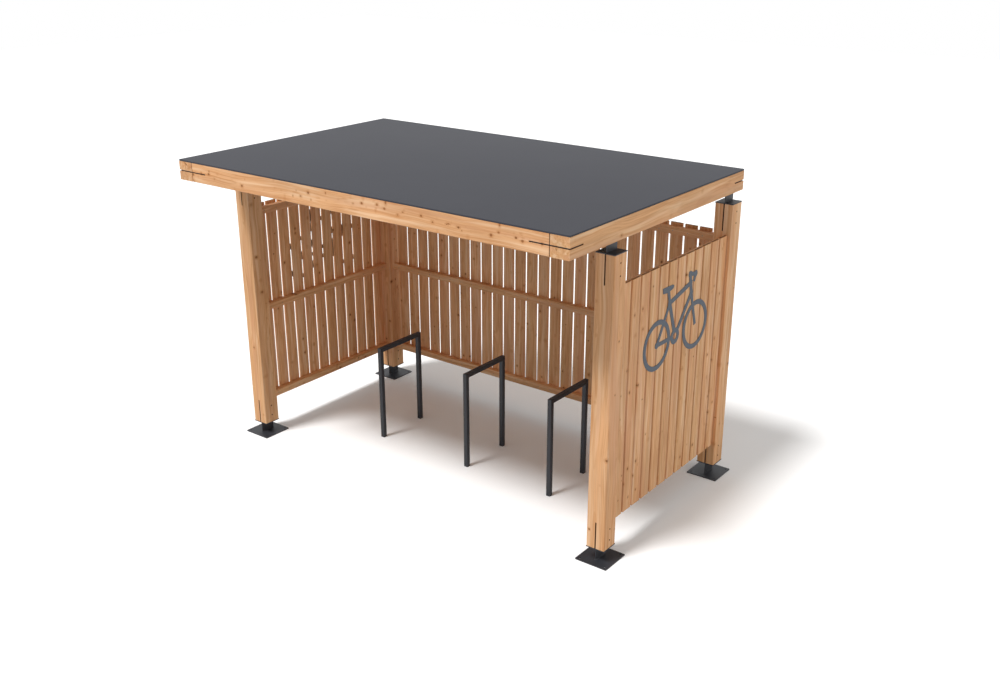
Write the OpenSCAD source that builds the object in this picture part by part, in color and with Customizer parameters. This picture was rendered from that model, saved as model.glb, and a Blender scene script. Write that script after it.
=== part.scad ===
// Bicycle shelter: a square-timber frame on steel feet, with a flat roof, slatted walls on
// three sides and three parking hoops. Millimetres, +Z up. The origin is on the ground in
// the middle of the whole outline. The open front faces -Y, and the long side runs along X.

/* [Overall] */
// Length over the posts and the roof
frame_length = 3500; // [2900:10:4800]
// Depth over the posts
frame_depth = 1735; // [1400:5:2400]
// How far the roof reaches past the front posts
roof_overhang = 500; // [400:10:800]
// Height of the underside of the roof beams
beam_underside = 2268; // [2150:1:2600]

/* [Posts and beams] */
// Side of the square posts, which the width of the roof beams follows
post_side = 140; // [125:1:160]
// Height of the roof beams
beam_height = 140; // [125:1:200]
// Height of the bottom ends of the posts above the ground
post_foot_height = 102; // [80:1:160]
// Open height between a post's cap plate and the beam above it
head_gap = 82; // [60:1:120]
// Width of the bevels along the arrises of the posts and beams
frame_bevel = 3; // [1:0.5:8]
// Open joint between the side beams and the ends of the front and back beams
beam_joint = 6; // [1:1:8]

/* [Steel feet and heads] */
// Side of the square base plates
base_side = 250; // [220:1:300]
// Thickness of the base plates
base_thickness = 8; // [6:1:15]
// Corner radius of the base plates
base_corner = 6; // [3:1:20]
// Distance of the anchor holes from the edges of the base plates
anchor_inset = 25; // [20:1:40]
// Diameter of the anchor holes
anchor_hole = 14; // [10:1:18]
// Thickness of the plates under and on top of the posts
bearing_thickness = 6; // [4:1:10]
// How far these plates stand out past the faces of the posts
bearing_lip = 2; // [0:1:15]
// Thickness of the upright blades let into the timber
blade_thickness = 8; // [6:1:12]
// How far the blades reach into the posts
blade_reach = 200; // [180:1:260]
// Width of the blades, front to back
blade_width = 120; // [90:1:120]
// Timber left between the kerf of a head blade and that of a corner plate
kerf_cover = 8; // [5:1:15]
// Room between a blade or plate and the walls of its kerf
kerf_clearance = 1; // [0.3:0.1:2]

/* [Dowels] */
// Diameter of the steel dowels
dowel_diameter = 12; // [8:1:16]
// Room around a dowel in its bore
dowel_clearance = 0.2; // [0.1:0.1:0.5]
// Distance of the first dowel from the end of the post
dowel_end = 60; // [45:1:70]
// Distance between the two dowels of a blade
dowel_pitch = 85; // [60:1:100]
// How deep the ends of the dowels lie in the timber
dowel_recess = 8; // [1:1:15]
// Height of the beam dowels above the underside of the beams
beam_dowel_height = 30; // [20:1:35]
// Timber left between a beam dowel and the outer face of the beam
beam_dowel_cover = 30; // [15:1:45]

/* [Roof] */
// Thickness of the corner plates let into the beams
corner_plate_thickness = 8; // [4:1:10]
// How far the corner plates lie behind the faces of the beams
corner_plate_inset = 8; // [1:1:15]
// Length of a corner plate along the front or back beam
corner_plate_length = 290; // [250:5:400]
// Thickness of the roof deck
deck_thickness = 18; // [12:1:30]
// Room around the edge of the roof deck
deck_clearance = 1; // [0.5:0.5:5]
// Width of the roof joists
joist_width = 60; // [40:1:100]
// Height of the roof joists
joist_height = 100; // [60:1:105]
// Thickness of the roof covering
sheet_thickness = 12; // [2:1:15]

/* [Walls] */
// Height of the bottom ends of the wall boards above the ground
boards_bottom = 275; // [150:5:400]
// Open height between the wall boards and the roof beams
wall_top_gap = 313; // [200:1:600]
// Width of a wall board
board_width = 102; // [80:1:130]
// Thickness of the wall boards
board_thickness = 18; // [16:1:30]
// Least gap between two boards
board_gap = 16; // [5:1:30]
// How far the boards lie behind the outer faces of the posts
board_recess = 24; // [10:1:35]
// Room between the outermost boards and the posts
board_end_clearance = 8; // [1:1:10]
// Side of the square rails that carry the boards
rail_side = 54; // [35:1:65]
// Width of the bevels along the arrises of the boards and rails
board_bevel = 2; // [1:0.5:4]
// Distance of the bottom rails from the bottom ends of the boards
rail_bottom_inset = 10; // [0:5:200]
// Distance of the top rails from the top ends of the boards
rail_top_inset = 25; // [0:5:200]
// How far the middle rails lie below the middle between the outer rails
rail_middle_drop = 16; // [0:2:200]

/* [Parking hoops] */
// Height of the hoops
hoop_height = 800; // [600:10:1000]
// Width of the hoops, front to back
hoop_width = 500; // [300:10:800]
// Outer side of the square tube
hoop_tube = 35; // [25:1:60]
// Wall of the square tube
hoop_wall = 3; // [2:0.5:5]
// Place of the left hoop along the shelter
hoop_left_x = -800; // [-1000:10:-600]
// Place of the middle hoop along the shelter
hoop_middle_x = 100; // [-200:10:200]
// Place of the right hoop along the shelter
hoop_right_x = 900; // [600:10:1000]
// Distance of the hoops from the outer face of the back posts
hoop_back_distance = 675; // [300:5:700]

/* [Bicycle sign] */
// Diameter of the wheels of the sign
sign_wheel = 364; // [300:2:380]
// Distance between the wheels of the sign
sign_wheelbase = 540; // [480:2:560]
// Width of the strokes of the sign
sign_stroke = 36; // [20:1:40]
// Thickness of the sheet that the sign is cut from
sign_thickness = 3; // [2:0.5:6]
// How far the wheel centres of the sign lie below the tops of the boards
sign_drop = 556; // [480:2:900]
// Place of the sign off the middle of the wall, towards the back
sign_offset = 25; // [-50:5:50]

/* [Hidden] */
$fn = 48;
wood_colour = "#d9a273";
board_colour = "#c48e62";
steel_colour = "#2e2f33";
sheet_colour = "#5f6064";
sign_colour = "#5b636e";

// Places of the frame. The base plates stand out at the back, and the roof at the front.
left = -1;
right = 1;
front = -1;
back = 1;
base_overhang = (base_side - post_side) / 2;
outer_y_back = (frame_depth + roof_overhang + base_overhang) / 2 - base_overhang;
outer_y_front = outer_y_back - frame_depth;
roof_front = outer_y_front - roof_overhang;
roof_depth = frame_depth + roof_overhang;
outer_x = frame_length / 2;
post_x = outer_x - post_side / 2;
clear_x = frame_length - 2 * post_side;
clear_y = frame_depth - 2 * post_side;
middle_y = outer_y_back - frame_depth / 2;

// Heights of the frame
post_top = beam_underside - head_gap - bearing_thickness;
roof_top = beam_underside + beam_height;
corner_plate_z = beam_underside + (beam_height - corner_plate_thickness) / 2;
blade_top = corner_plate_z - kerf_cover;
deck_z = roof_top - deck_thickness;
bearing_side = post_side + 2 * bearing_lip;
kerf = blade_thickness + 2 * kerf_clearance;
bore = dowel_diameter + 2 * dowel_clearance;
anchor_spacing = base_side - 2 * anchor_inset;
joist_count = 5;
over = 1;

// Places of the dowels of a corner plate, from the outer corner of the roof
corner_dowel_edge = 30;
corner_dowel_side = [corner_dowel_edge, post_side - corner_dowel_edge];
corner_dowel_span = corner_plate_length - post_side;
corner_dowel_beam = [post_side + corner_dowel_span / 3, post_side + 2 * corner_dowel_span / 3];

// The side walls are filled by whole boards. The back wall repeats their spacing from its left
// end, and what is left over stays open beside the right post.
board_room = clear_y - 2 * board_end_clearance;
side_boards = floor((board_room + board_gap) / (board_width + board_gap));
board_pitch = (board_room - board_width) / (side_boards - 1);
back_board_first = board_pitch - board_width;
back_boards_count = floor((clear_x - 2 * back_board_first - board_width) / board_pitch) + 1;
board_outer = outer_x - board_recess;
board_inner = board_outer - board_thickness;
back_board_inner = outer_y_back - board_recess - board_thickness;
boards_top = beam_underside - wall_top_gap;
board_length = boards_top - boards_bottom;
rail_bottom_z = boards_bottom + rail_bottom_inset;
rail_top_z = boards_top - rail_top_inset - rail_side;
rail_middle_z = (rail_bottom_z + rail_top_z) / 2 - rail_middle_drop;

// Points of the bicycle sign, from the middle between its wheels. Y runs up, and the
// bicycle looks towards +X of the drawing.
rear_hub = [-sign_wheelbase / 2, 0];
front_hub = [sign_wheelbase / 2, 0];
crank = [-20, -4];
seat_joint = [-118, 262];
saddle_clamp = [-146, 362];
head_top = [170, 334];
head_bottom = [186, 258];
stem_top = [156, 400];
bar_elbow = [236, 386];
grip_end = [214, 334];
saddle_outline = [[-226, 392], [-218, 352], [-150, 344], [-78, 360], [-70, 378], [-88, 388]];
sign_thin = 30;
chainwheel = 118;
chainwheel_hole = 50;
joint_disc = 48;

// Sets its children at one corner post, with the mirrored sides facing outwards
module at_corner(side, end) {
    x = side * post_x;
    y = end == front ? outer_y_front + post_side / 2 : outer_y_back - post_side / 2;
    translate([x, y, 0])
        children();
}

// A box centred on X and Y, standing on the height z
module block(width, depth, z, height) {
    translate([-width / 2, -depth / 2, z])
        cube([width, depth, height]);
}

// Section of a timber with bevelled arrises, centred
module timber_section(width, depth, bevel) {
    x = width / 2;
    y = depth / 2;
    polygon([[bevel - x, -y], [x - bevel, -y], [x, bevel - y], [x, y - bevel],
        [x - bevel, y], [bevel - x, y], [-x, y - bevel], [-x, bevel - y]]);
}

// Timber standing on the height z, centred on X and Y
module upright_timber(width, depth, bevel, z, length) {
    translate([0, 0, z])
        linear_extrude(length)
            timber_section(width, depth, bevel);
}

// Timber lying along X, with its middle at the start of the axes
module timber_along_x(length, depth, height, bevel) {
    rotate([90, 0, 90])
        translate([0, 0, -length / 2])
            linear_extrude(length)
                timber_section(depth, height, bevel);
}

// Timber lying along Y, with its middle at the start of the axes
module timber_along_y(length, width, height, bevel) {
    rotate([90, 0, 0])
        translate([0, 0, -length / 2])
            linear_extrude(length)
                timber_section(width, height, bevel);
}

// The two dowels of a blade along X, at their heights up or down from an end of the post
module dowel_pair(diameter, length, end_z, way) {
    for (i = [0:1])
        translate([-length / 2, 0, end_z + way * (dowel_end + i * dowel_pitch)])
            rotate([0, 90, 0])
                cylinder(d = diameter, h = length);
}

// The dowel that holds a head blade in the side beam, driven in from the inside
module beam_dowel(diameter, side, recess) {
    length = post_side - beam_dowel_cover - recess;
    translate([side * (post_side / 2 - beam_dowel_cover), 0, beam_underside + beam_dowel_height])
        rotate([0, -side * 90, 0])
            cylinder(d = diameter, h = length);
}

// A square plate with round corners
module rounded_plate(side, radius, thickness) {
    inner = side - 2 * radius;
    linear_extrude(thickness) {
        square([side, inner], center = true);
        square([inner, side], center = true);
        for (x = [-1, 1], y = [-1, 1])
            translate([x * inner / 2, y * inner / 2])
                circle(radius);
    }
}

// Base plate with anchor holes, blade and bearing plate under a post
module foot(side, end) {
    color(steel_colour)
        at_corner(side, end) {
            difference() {
                rounded_plate(base_side, base_corner, base_thickness);
                for (x = [-1, 1], y = [-1, 1])
                    translate([x * anchor_spacing / 2, y * anchor_spacing / 2, -over])
                        cylinder(d = anchor_hole, h = base_thickness + 2 * over);
            }
            block(blade_thickness, blade_width, base_thickness / 2,
                post_foot_height + blade_reach - base_thickness / 2);
            block(bearing_side, bearing_side, post_foot_height - bearing_thickness, bearing_thickness);
            dowel_pair(dowel_diameter, post_side - 2 * dowel_recess, post_foot_height, 1);
        }
}

// Square post with a kerf and two dowel bores at each end
module post(side, end) {
    color(wood_colour)
        at_corner(side, end)
            difference() {
                upright_timber(post_side, post_side, frame_bevel, post_foot_height,
                    post_top - post_foot_height);
                block(kerf, post_side + 2 * over, post_foot_height - over,
                    blade_reach + kerf_clearance + over);
                block(kerf, post_side + 2 * over, post_top - blade_reach - kerf_clearance,
                    blade_reach + kerf_clearance + over);
                dowel_pair(bore, post_side + 2 * over, post_foot_height, 1);
                dowel_pair(bore, post_side + 2 * over, post_top, -1);
            }
}

// Cap plate on a post, with a blade down into the post and up into the side beam
module head(side, end) {
    color(steel_colour)
        at_corner(side, end) {
            block(bearing_side, bearing_side, post_top, bearing_thickness);
            block(blade_thickness, blade_width, post_top - blade_reach,
                blade_top - post_top + blade_reach);
            dowel_pair(dowel_diameter, post_side - 2 * dowel_recess, post_top, -1);
            beam_dowel(dowel_diameter, side, dowel_recess);
        }
}

// The four upright dowels of a corner plate, as places for children
module at_corner_dowels(side, end) {
    y_edge = end == front ? roof_front : outer_y_back;
    for (i = [0:1]) {
        translate([side * (outer_x - corner_dowel_side[i]), y_edge - end * corner_dowel_side[i], 0])
            children();
        translate([side * (outer_x - corner_dowel_beam[i]), y_edge - end * corner_dowel_side[i], 0])
            children();
    }
}

// The space of a corner plate in the roof frame, drawn in by the inset, with room above it
module corner_plate_space(side, end, inset, room) {
    corner_x = side * outer_x;
    corner_y = end == front ? roof_front : outer_y_back;
    x = side == left ? corner_x + inset : corner_x - corner_plate_length;
    y = end == front ? corner_y + inset : corner_y - post_side;
    translate([x, y, corner_plate_z])
        cube([corner_plate_length - inset, post_side - inset, corner_plate_thickness + room]);
}

// Steel plate that ties a side beam to the front or back beam
module corner_plate(side, end) {
    color(steel_colour) {
        corner_plate_space(side, end, corner_plate_inset, 0);
        at_corner_dowels(side, end)
            translate([0, 0, beam_underside + dowel_recess])
                cylinder(d = dowel_diameter, h = beam_height - 2 * dowel_recess);
    }
}

// What the corner plates and their dowels take out of the beams
module corner_cuts() {
    for (side = [left, right], end = [front, back]) {
        corner_plate_space(side, end, -over, kerf_clearance);
        at_corner_dowels(side, end)
            translate([0, 0, beam_underside - over])
                cylinder(d = bore, h = beam_height + 2 * over);
    }
}

// Beam over the front and back post of one side, with its end grain in the front
module side_beam(side) {
    color(wood_colour)
        difference() {
            translate([side * post_x, roof_front + roof_depth / 2, beam_underside + beam_height / 2])
                timber_along_y(roof_depth, post_side, beam_height, frame_bevel);
            corner_cuts();
            for (end = [front, back])
                at_corner(side, end) {
                    block(kerf, blade_width + 2 * kerf_clearance, beam_underside - over,
                        blade_top + kerf_clearance - beam_underside + over);
                    beam_dowel(bore, side, -over);
                }
        }
}

// Beam between the side beams, at the front or the back edge of the roof
module cross_beam(end) {
    y = end == front ? roof_front + post_side / 2 : outer_y_back - post_side / 2;
    color(wood_colour)
        difference() {
            translate([0, y, beam_underside + beam_height / 2])
                timber_along_x(clear_x - 2 * beam_joint, post_side, beam_height, frame_bevel);
            corner_cuts();
        }
}

// One of the joists between the front and the back beam
module roof_joist(number) {
    x = -clear_x / 2 + number * clear_x / (joist_count + 1);
    color(wood_colour)
        translate([x - joist_width / 2, roof_front + post_side, deck_z - joist_height])
            cube([joist_width, roof_depth - 2 * post_side, joist_height]);
}

// Deck on the joists, flush with the tops of the beams
module roof_deck() {
    color(board_colour)
        translate([-clear_x / 2 + deck_clearance, roof_front + post_side + deck_clearance, deck_z])
            cube([clear_x - 2 * deck_clearance,
                roof_depth - 2 * post_side - 2 * deck_clearance, deck_thickness]);
}

// Covering over the whole roof, flush with the outer faces of the beams
module roof_sheet() {
    color(sheet_colour)
        translate([-outer_x, roof_front, roof_top])
            cube([frame_length, roof_depth, sheet_thickness]);
}

// Boards of a side wall, from post to post
module side_wall_boards(side) {
    y_first = outer_y_front + post_side + board_end_clearance + board_width / 2;
    color(board_colour)
        for (i = [0:side_boards - 1])
            translate([side * (board_outer - board_thickness / 2), y_first + i * board_pitch, 0])
                upright_timber(board_thickness, board_width, board_bevel, boards_bottom, board_length);
}

// Rail of a side wall, between the posts on the inner side of the boards
module side_rail(side, z) {
    color(board_colour)
        translate([side * (board_inner - rail_side / 2), middle_y, z + rail_side / 2])
            timber_along_y(clear_y, rail_side, rail_side, board_bevel);
}

// Boards of the back wall, whole ones only, set out from the left post one gap away from it
module back_boards() {
    x_first = -clear_x / 2 + back_board_first + board_width / 2;
    color(board_colour)
        for (i = [0:back_boards_count - 1])
            translate([x_first + i * board_pitch, back_board_inner + board_thickness / 2, 0])
                upright_timber(board_width, board_thickness, board_bevel, boards_bottom, board_length);
}

// Rail of the back wall, between the back posts
module back_rail(z) {
    color(board_colour)
        translate([0, back_board_inner - rail_side / 2, z + rail_side / 2])
            timber_along_x(clear_x, rail_side, rail_side, board_bevel);
}

// Outline of a hoop's tube, or of the hollow in it when it is drawn in by the wall
module hoop_outline(inset) {
    side = hoop_width - 2 * inset;
    leg = hoop_tube - 2 * inset;
    foot_end = inset > 0 ? -over : 0;
    difference() {
        translate([-side / 2, foot_end])
            square([side, hoop_height - inset - foot_end]);
        translate([leg - side / 2, foot_end - over])
            square([side - 2 * leg, hoop_height - inset - leg - foot_end + over]);
    }
}

// Parking hoop of square tube with mitred corners, let into the ground
module bike_hoop(x) {
    y = outer_y_back - hoop_back_distance - hoop_width / 2;
    color(steel_colour)
        translate([x - hoop_tube / 2, y, 0])
            rotate([90, 0, 90])
                difference() {
                    linear_extrude(hoop_tube)
                        hoop_outline(0);
                    translate([0, 0, hoop_wall])
                        linear_extrude(hoop_tube - 2 * hoop_wall)
                            hoop_outline(hoop_wall);
                }
}

// Straight bar of the sign, cut square at both ends
module bar(from, to, width) {
    run = to - from;
    translate(from)
        rotate(atan2(run[1], run[0]))
            translate([0, -width / 2])
                square([norm(run), width]);
}

// Wheel of the sign
module wheel(centre) {
    translate(centre)
        difference() {
            circle(d = sign_wheel);
            circle(d = sign_wheel - 2 * sign_stroke);
        }
}

// Flat bicycle figure
module bicycle_figure() {
    difference() {
        union() {
            wheel(rear_hub);
            wheel(front_hub);
            bar(rear_hub, crank, sign_thin);
            bar(rear_hub, seat_joint, sign_thin);
            bar(crank, seat_joint, sign_stroke);
            bar(seat_joint, saddle_clamp, sign_thin);
            bar(crank, head_bottom, sign_stroke);
            bar(seat_joint, head_top, sign_stroke);
            bar(front_hub, head_bottom, sign_thin);
            bar(head_bottom, stem_top, sign_stroke);
            bar(stem_top, bar_elbow, sign_thin);
            bar(bar_elbow, grip_end, sign_thin);
            polygon(saddle_outline);
            translate(crank)
                circle(d = chainwheel);
            for (joint = [rear_hub, seat_joint, head_top, head_bottom, stem_top, bar_elbow])
                translate(joint)
                    circle(d = joint_disc);
        }
        translate(crank)
            circle(d = chainwheel_hole);
    }
}

// Bicycle cut from sheet metal, on the outside of the right wall
module bike_sign() {
    color(sign_colour)
        translate([board_outer, middle_y + sign_offset, boards_top - sign_drop])
            rotate([90, 0, 90])
                linear_extrude(sign_thickness)
                    bicycle_figure();
}

foot(left, front);  // foot_front_left
foot(right, front);  // foot_front_right
foot(left, back);  // foot_back_left
foot(right, back);  // foot_back_right
post(left, front);  // post_front_left
post(right, front);  // post_front_right
post(left, back);  // post_back_left
post(right, back);  // post_back_right
head(left, front);  // head_front_left
head(right, front);  // head_front_right
head(left, back);  // head_back_left
head(right, back);  // head_back_right
side_beam(left);  // beam_left
side_beam(right);  // beam_right
cross_beam(front);  // beam_front
cross_beam(back);  // beam_back
corner_plate(left, front);  // corner_plate_front_left
corner_plate(right, front);  // corner_plate_front_right
corner_plate(left, back);  // corner_plate_back_left
corner_plate(right, back);  // corner_plate_back_right
roof_joist(1);  // roof_joist_1
roof_joist(2);  // roof_joist_2
roof_joist(3);  // roof_joist_3
roof_joist(4);  // roof_joist_4
roof_joist(5);  // roof_joist_5
roof_deck();
roof_sheet();
side_wall_boards(left);  // left_boards
side_rail(left, rail_bottom_z);  // left_rail_bottom
side_rail(left, rail_middle_z);  // left_rail_middle
side_rail(left, rail_top_z);  // left_rail_top
side_wall_boards(right);  // right_boards
side_rail(right, rail_bottom_z);  // right_rail_bottom
side_rail(right, rail_middle_z);  // right_rail_middle
side_rail(right, rail_top_z);  // right_rail_top
back_boards();
back_rail(rail_bottom_z);  // back_rail_bottom
back_rail(rail_middle_z);  // back_rail_middle
back_rail(rail_top_z);  // back_rail_top
bike_hoop(hoop_left_x);  // bike_hoop_left
bike_hoop(hoop_middle_x);  // bike_hoop_middle
bike_hoop(hoop_right_x);  // bike_hoop_right
bike_sign();
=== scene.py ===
"""Looks of a bicycle shelter: larch timber, powder-coated steel and a roofing membrane.

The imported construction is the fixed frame. Every timber is set exactly where the frame has
it, and gets the place that it had in its log, so that growth rings, knots and end grain run
through the wood as they do in sawn larch. Everything is in metres, +Z up.
"""

import logging
import math
from dataclasses import dataclass
from enum import Enum

import bmesh
import bpy
import numpy as np
from bpy.types import ID, Light, Material, Mesh, Node, NodeSocket, NodeTree, Object, bpy_prop_collection
from mathutils import Euler, Matrix, Vector


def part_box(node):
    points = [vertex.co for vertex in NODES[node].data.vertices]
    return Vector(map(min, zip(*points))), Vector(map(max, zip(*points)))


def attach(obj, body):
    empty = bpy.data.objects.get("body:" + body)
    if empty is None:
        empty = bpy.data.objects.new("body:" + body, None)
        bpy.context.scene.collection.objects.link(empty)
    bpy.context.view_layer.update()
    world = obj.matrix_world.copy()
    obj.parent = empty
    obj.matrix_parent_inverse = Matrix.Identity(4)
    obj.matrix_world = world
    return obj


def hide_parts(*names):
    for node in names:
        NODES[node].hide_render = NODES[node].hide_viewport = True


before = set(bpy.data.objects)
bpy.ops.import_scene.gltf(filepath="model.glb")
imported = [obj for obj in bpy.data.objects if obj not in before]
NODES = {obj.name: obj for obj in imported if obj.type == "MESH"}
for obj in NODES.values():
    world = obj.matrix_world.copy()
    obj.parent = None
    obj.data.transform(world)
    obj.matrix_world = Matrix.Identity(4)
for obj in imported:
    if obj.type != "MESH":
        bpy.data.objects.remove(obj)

BODY = "root"
MM = 0.001
SEAM = 0.01 * MM  # points of a copied mesh that lie closer are one
FLAT = math.radians(0.5)  # faces of a copied mesh that turn less are one
END_FACING = 0.9  # a face is end grain where its normal lies this much along the fibres
SLANTED = (0.31, 0.17, 0.93)  # a way that no turned piece has for its axis
WHITE = (1.0, 1.0, 1.0, 1.0)
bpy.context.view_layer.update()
LOG = logging.getLogger("bike_shelter")

Feed = Node | NodeSocket  # what feeds an input, where a node stands for its first output


# Helpers for node trees


def linear(hex_colour: str) -> tuple[float, float, float, float]:
    """Turns an sRGB hex colour to linear light.

    Args:
        hex_colour: Six hex digits after a hash sign.

    Returns:
        Linear red, green and blue, with an alpha of one.
    """
    parts = [int(hex_colour[i:i + 2], 16) / 255 for i in (1, 3, 5)]
    low, power = 12.92, 2.4
    light = [c / low if c <= 0.04045 else ((c + 0.055) / 1.055) ** power for c in parts]
    return (light[0], light[1], light[2], 1.0)


def add(tree: NodeTree, kind: str, inputs: dict | None = None, **settings) -> Node:
    """Adds a node, with its settings, and its inputs as values or as links.

    Args:
        tree: The node tree.
        kind: The node's type, without the prefix of shader nodes.
        inputs: Socket name or number, with a value, an output, or a node for its first output.
        **settings: Properties of the node.

    Returns:
        The new node.
    """
    node = tree.nodes.new(f"ShaderNode{kind}")
    for name, value in settings.items():
        setattr(node, name, value)
    for name, value in (inputs or {}).items():
        socket = node.inputs[name]
        if isinstance(value, Feed):
            tree.links.new(value.outputs[0] if isinstance(value, Node) else value, socket)
        else:
            socket.default_value = value
    return node


def new_material(name: str) -> tuple[Material, NodeTree]:
    """Makes an empty node material.

    Args:
        name: The material's name.

    Returns:
        The material and its node tree.
    """
    material = bpy.data.materials.new(name)
    material.use_nodes = True
    material.node_tree.nodes.clear()
    return material, material.node_tree


def stain(tree: NodeTree, under: Feed | tuple, over: str, pattern: Feed, span: tuple, share: float) -> Feed:
    """Lays a colour over another where a pattern is strong, with an even rise over its span.

    Args:
        tree: The node tree.
        under: The colour underneath.
        over: Hex colour that is laid over it.
        pattern: Strength of the pattern.
        span: Strengths at which the colour starts and is full.
        share: How much of it is laid on where it is full.

    Returns:
        The stained colour.
    """
    amount = add(tree, "MapRange", {"Value": pattern, "From Min": span[0], "From Max": span[1],
                                    "To Max": share})
    return add(tree, "Mix", {0: amount, 6: under, 7: linear(over)}, data_type="RGBA").outputs[2]


def seen_rays(tree: NodeTree) -> Feed:
    """Tells rays of the eye, of a gloss and through glass from those that gather soft light.

    Args:
        tree: The node tree.

    Returns:
        One for the first three, and nought for the others.
    """
    path = add(tree, "LightPath").outputs
    seen = path["Is Camera Ray"]
    for ray in ("Is Glossy Ray", "Is Transmission Ray"):
        seen = add(tree, "Math", {0: seen, 1: path[ray]}, operation="MAXIMUM")
    return seen


# Solids as numpy arrays


class Axis(Enum):
    """Way that a timber's log runs, with the order of its cross axes."""

    X = (1, 2, 0)
    Y = (2, 0, 1)
    Z = (0, 1, 2)


@dataclass
class Log:
    """Place of a timber in the log that it was sawn from."""

    axis: Axis
    pith: tuple[float, float]
    start: float
    tone: float

    def place(self, points: np.ndarray, middle: np.ndarray) -> np.ndarray:
        """Place of each point in the log: two ways across it from its pith, and along it.

        Args:
            points: Points, one a row.
            middle: Middle of the timber.

        Returns:
            Rows of (across, across, along), in metres.
        """
        local = (points - middle)[:, list(self.axis.value)]
        return local + np.array([-self.pith[0], -self.pith[1], self.start])


@dataclass
class Solid:
    """Points and faces of one closed shape, with what its material reads."""

    points: np.ndarray
    faces: list
    place: np.ndarray | None = None
    tone: float = 0.0
    axis: Axis | None = None


def rounded_section(width: float, depth: float, radius: float, steps: int = 3) -> np.ndarray:
    """Outline of a rectangle with round corners, against the clock.

    Each corner is a quarter circle: centre + radius * (cos t, sin t).

    Args:
        width: Full width.
        depth: Full depth.
        radius: Radius of the corners.
        steps: Points on each corner.

    Returns:
        Points, one a row.
    """
    turn = np.linspace(0, math.pi / 2, steps)
    outline = []
    for k, (sx, sy) in enumerate(((1, 1), (-1, 1), (-1, -1), (1, -1))):
        t = turn + k * math.pi / 2
        centre = np.array([sx * (width / 2 - radius), sy * (depth / 2 - radius)])
        outline.append(centre + radius * np.stack([np.cos(t), np.sin(t)], 1))
    return np.concatenate(outline)


def grid_faces(rows: int, columns: int) -> np.ndarray:
    """Quads of a grid whose columns close on themselves, facing outwards.

    Args:
        rows: Rings of the grid.
        columns: Points on each ring.

    Returns:
        Four point numbers a row.
    """
    i, j = np.meshgrid(np.arange(rows - 1), np.arange(columns), indexing="ij")
    n = (j + 1) % columns
    quads = np.stack([i * columns + j, i * columns + n, (i + 1) * columns + n, (i + 1) * columns + j], -1)
    return quads.reshape(-1, 4)


def carry(rings: np.ndarray) -> Solid:
    """A closed skin over rings of points, with a flat face on the first and the last.

    Args:
        rings: Array of rings, points and coordinates, each ring against the clock.

    Returns:
        The closed solid.
    """
    rows, columns = rings.shape[:2]
    faces = grid_faces(rows, columns).tolist()
    faces.append(list(range(columns))[::-1])
    faces.append([(rows - 1) * columns + k for k in range(columns)])
    return Solid(rings.reshape(-1, 3), faces)


def revolve(profile: np.ndarray, centre: np.ndarray, axis: np.ndarray, count: int) -> Solid:
    """A profile of (radius, height) turned about an axis: p = c + h*a + r*(cos t*u + sin t*v).

    Args:
        profile: Rows of radius and height, from the bottom to the top.
        centre: Foot of the axis.
        axis: Unit vector along it.
        count: Points around it.

    Returns:
        The closed solid.
    """
    u = np.cross(axis, SLANTED)
    u /= np.linalg.norm(u)
    v = np.cross(axis, u)
    t = np.linspace(0, 2 * math.pi, count, endpoint=False)
    ring = np.cos(t)[:, None] * u + np.sin(t)[:, None] * v
    rings = centre + profile[:, 1, None, None] * axis + profile[:, 0, None, None] * ring
    return carry(rings)


def level_ring(outline: np.ndarray, height: float) -> np.ndarray:
    """Sets a flat outline at a height.

    Args:
        outline: Points in two coordinates, one a row.
        height: Their height.

    Returns:
        The points in three coordinates.
    """
    return np.column_stack([outline, np.full(len(outline), height)])


def timber(low: Vector, high: Vector, log: Log, radius: float, bow: float = 0.0, eased: float = 0.8 * MM,
           stations: int = 9) -> Solid:
    """A sawn timber that fills a box, with rounded arrises and eased ends.

    The section is carried along the log. Its middle is drawn aside by bow * (1 - (2t-1)^2)
    on the second cross axis, as seasoned timber bends a little.

    Args:
        low: Lowest corner of the box.
        high: Highest corner of the box.
        log: Where the timber lay in its log.
        radius: Radius of the arrises.
        bow: Depth of the bend.
        eased: How far the ends are drawn in, at most as far as the arrises are round.
        stations: Rings along the length.

    Returns:
        The timber with its place in the log.
    """
    a, b, c = log.axis.value
    size = np.array(high) - np.array(low)
    middle = (np.array(high) + np.array(low)) / 2
    ease = min(eased, radius)
    t = np.concatenate([[0.0], np.linspace(ease / size[c], 1 - ease / size[c], stations), [1.0]])
    full = rounded_section(size[a], size[b], radius)
    drawn = full * np.array([1 - 2 * ease / size[a], 1 - 2 * ease / size[b]])
    rings = np.zeros((len(t), len(full), 3))
    sections = np.repeat(full[None], len(t), 0)
    sections[[0, -1]] = drawn
    rings[:, :, a] = middle[a] + sections[:, :, 0]
    rings[:, :, b] = middle[b] + sections[:, :, 1] + (bow * (1 - (2 * t - 1) ** 2))[:, None]
    rings[:, :, c] = low[c] + (t * size[c])[:, None]
    solid = carry(rings)
    solid.place = log.place(solid.points, middle)
    solid.tone = log.tone
    solid.axis = log.axis
    return solid


def dress_mesh(mesh: Mesh, place: np.ndarray, tone: np.ndarray, ends: np.ndarray) -> None:
    """Writes what the wood reads: the place in the log, the tone, and how much of the dark end colour each
    face takes.

    Args:
        mesh: The mesh.
        place: Place of each point in its log.
        tone: Tone of each point, from -1 to 1.
        ends: Share of the dark end colour on each face, from 0 to 1: end grain, deepened as painted shade on
            shaded tops and on kerf and bore walls.
    """
    mesh.attributes.new("log_place", "FLOAT_VECTOR", "POINT").data.foreach_set("vector", place.ravel())
    mesh.attributes.new("board_tone", "FLOAT", "POINT").data.foreach_set("value", tone)
    mesh.attributes.new("end_grain_and_shade", "FLOAT", "FACE").data.foreach_set("value", ends)


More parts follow.
